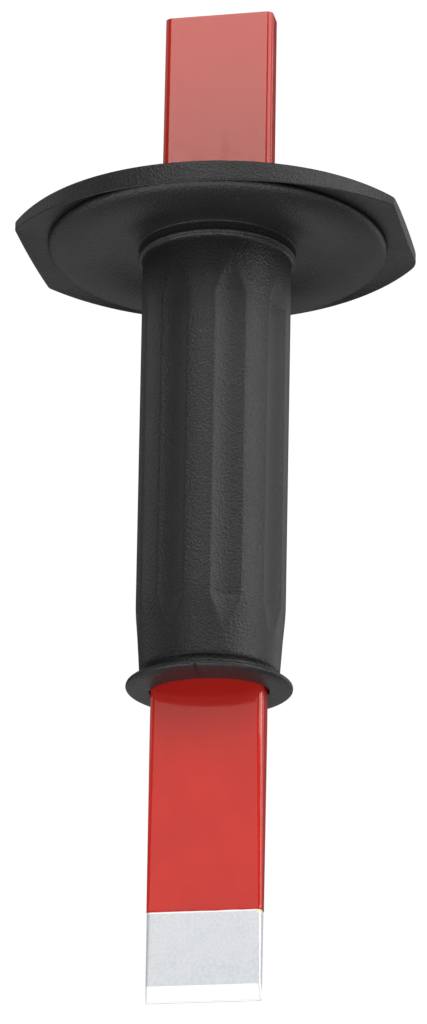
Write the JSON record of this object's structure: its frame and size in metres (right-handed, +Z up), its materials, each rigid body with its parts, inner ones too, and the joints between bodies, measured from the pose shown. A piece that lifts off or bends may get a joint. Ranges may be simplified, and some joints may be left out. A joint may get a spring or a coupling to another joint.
{
  "type": "cold chisel",
  "caption": "Flat cold chisel: a red-painted flat steel bar with a bare ground tip, in a black moulded grip with a broad hand guard.",
  "frame": {"origin": "middle of the cutting edge, at the bottom centre of the object", "axes": "+Z up the bar from the cutting edge to the struck head, X along the blade's width, -Y out of the broad front face"},
  "size_m": [0.0894, 0.081, 0.24],
  "materials": {
    "bar": "gloss red paint over forged steel, with the last 20 mm of the blade ground bare",
    "grip": "black moulded soft plastic with a fine pebbled satin surface"
  },
  "bodies": {
    "chisel": {"chisel_bar": "bar"},
    "grip": {"guard_grip": "grip"}
  },
  "joints": [
    {"name": "grip_slide", "type": "slide", "parent": "chisel", "child": "grip", "axis": [0, 0, 1], "range_m": [-0.01, 0.045]}
  ]
}
